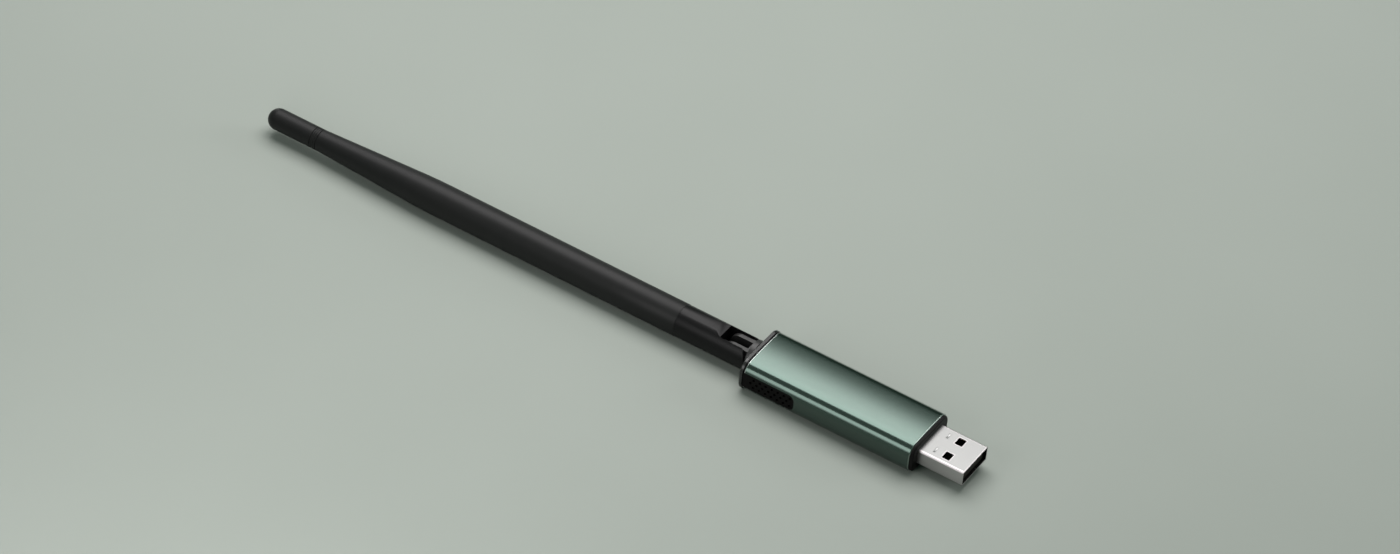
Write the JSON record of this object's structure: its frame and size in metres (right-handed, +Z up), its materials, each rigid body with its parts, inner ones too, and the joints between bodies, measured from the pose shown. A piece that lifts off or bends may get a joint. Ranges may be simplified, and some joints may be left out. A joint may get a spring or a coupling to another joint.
{
  "type": "smart home usb radio stick",
  "caption": "Flat rounded radio stick with a USB-A plug at one end and a rod antenna at the other that swivels and folds up.",
  "frame": {"origin": "middle of the underside, with the rod antenna straight out behind the body", "axes": "+X along the stick towards the mouth of the plug, +Y across to the far side, +Z up from the flat underside"},
  "size_m": [0.218, 0.0182, 0.0094],
  "materials": {
    "sleeve": "dark green anodised, satin",
    "cap": "fine matt",
    "vent": "fine matt",
    "antenna": "fine matt, slightly soft",
    "shell": "bright nickel plate",
    "insulator": "matt",
    "gold": "gold plate",
    "board": "solder mask",
    "package": "moulded package",
    "can": "tinned",
    "lamp_red": "clear lens",
    "lamp_green": "clear lens",
    "ceramic": "ceramic body",
    "heat_pad": "soft, matt",
    "cable": "smooth jacket",
    "copper": "bare copper",
    "brass": "drawn brass",
    "spacer": "natural acetal",
    "carrier": "moulded",
    "steel": "plain"
  },
  "bodies": {
    "housing": {"board_carrier": "carrier", "board_screw_far": "steel", "board_screw_near": "steel", "cable_clamp": "brass", "chip_capacitor_1": "ceramic", "chip_capacitor_2": "ceramic", "chip_capacitor_3": "ceramic", "chip_capacitor_4": "ceramic", "feed_cable_core": "copper", "feed_cable_housing": "cable", "feed_solder_pad": "can", "front_cap": "cap", "heat_pad": "heat_pad", "housing_sleeve": "sleeve", "link_lamp": "lamp_green", "main_board": "board", "power_lamp": "lamp_red", "radio_chip": "package", "radio_crystal": "can", "radio_shield": "can", "rear_cap": "cap", "usb_bridge_chip": "package", "usb_contact_dminus": "gold", "usb_contact_dplus": "gold", "usb_contact_gnd": "gold", "usb_contact_vbus": "gold", "usb_shell": "shell", "usb_tongue": "insulator", "vent_panel_far": "vent", "vent_panel_near": "vent", "voltage_regulator": "package"},
    "knuckle": {"swivel_knuckle": "antenna", "swivel_retaining_ring": "steel", "feed_cable_knuckle": "cable", "fold_washer_far": "spacer", "fold_washer_near": "spacer"},
    "rod": {"rod_fork": "antenna", "rod_tube": "antenna", "feed_cable_rod": "cable", "dipole_sleeve": "brass", "radiator_wire": "copper", "rod_spacer_front": "spacer", "rod_spacer_middle": "spacer", "rod_spacer_tip": "spacer"}
  },
  "joints": [
    {"name": "antenna_swivel", "type": "hinge", "parent": "housing", "child": "knuckle", "pos_m": [0.0446, 0, 0.0047], "axis": [1, 0, 0], "range_deg": [-90, 90]},
    {"name": "antenna_fold", "type": "hinge", "parent": "knuckle", "child": "rod", "pos_m": [0.03845, 0, 0.0047], "axis": [0, 1, 0], "range_deg": [0, 90]}
  ]
}
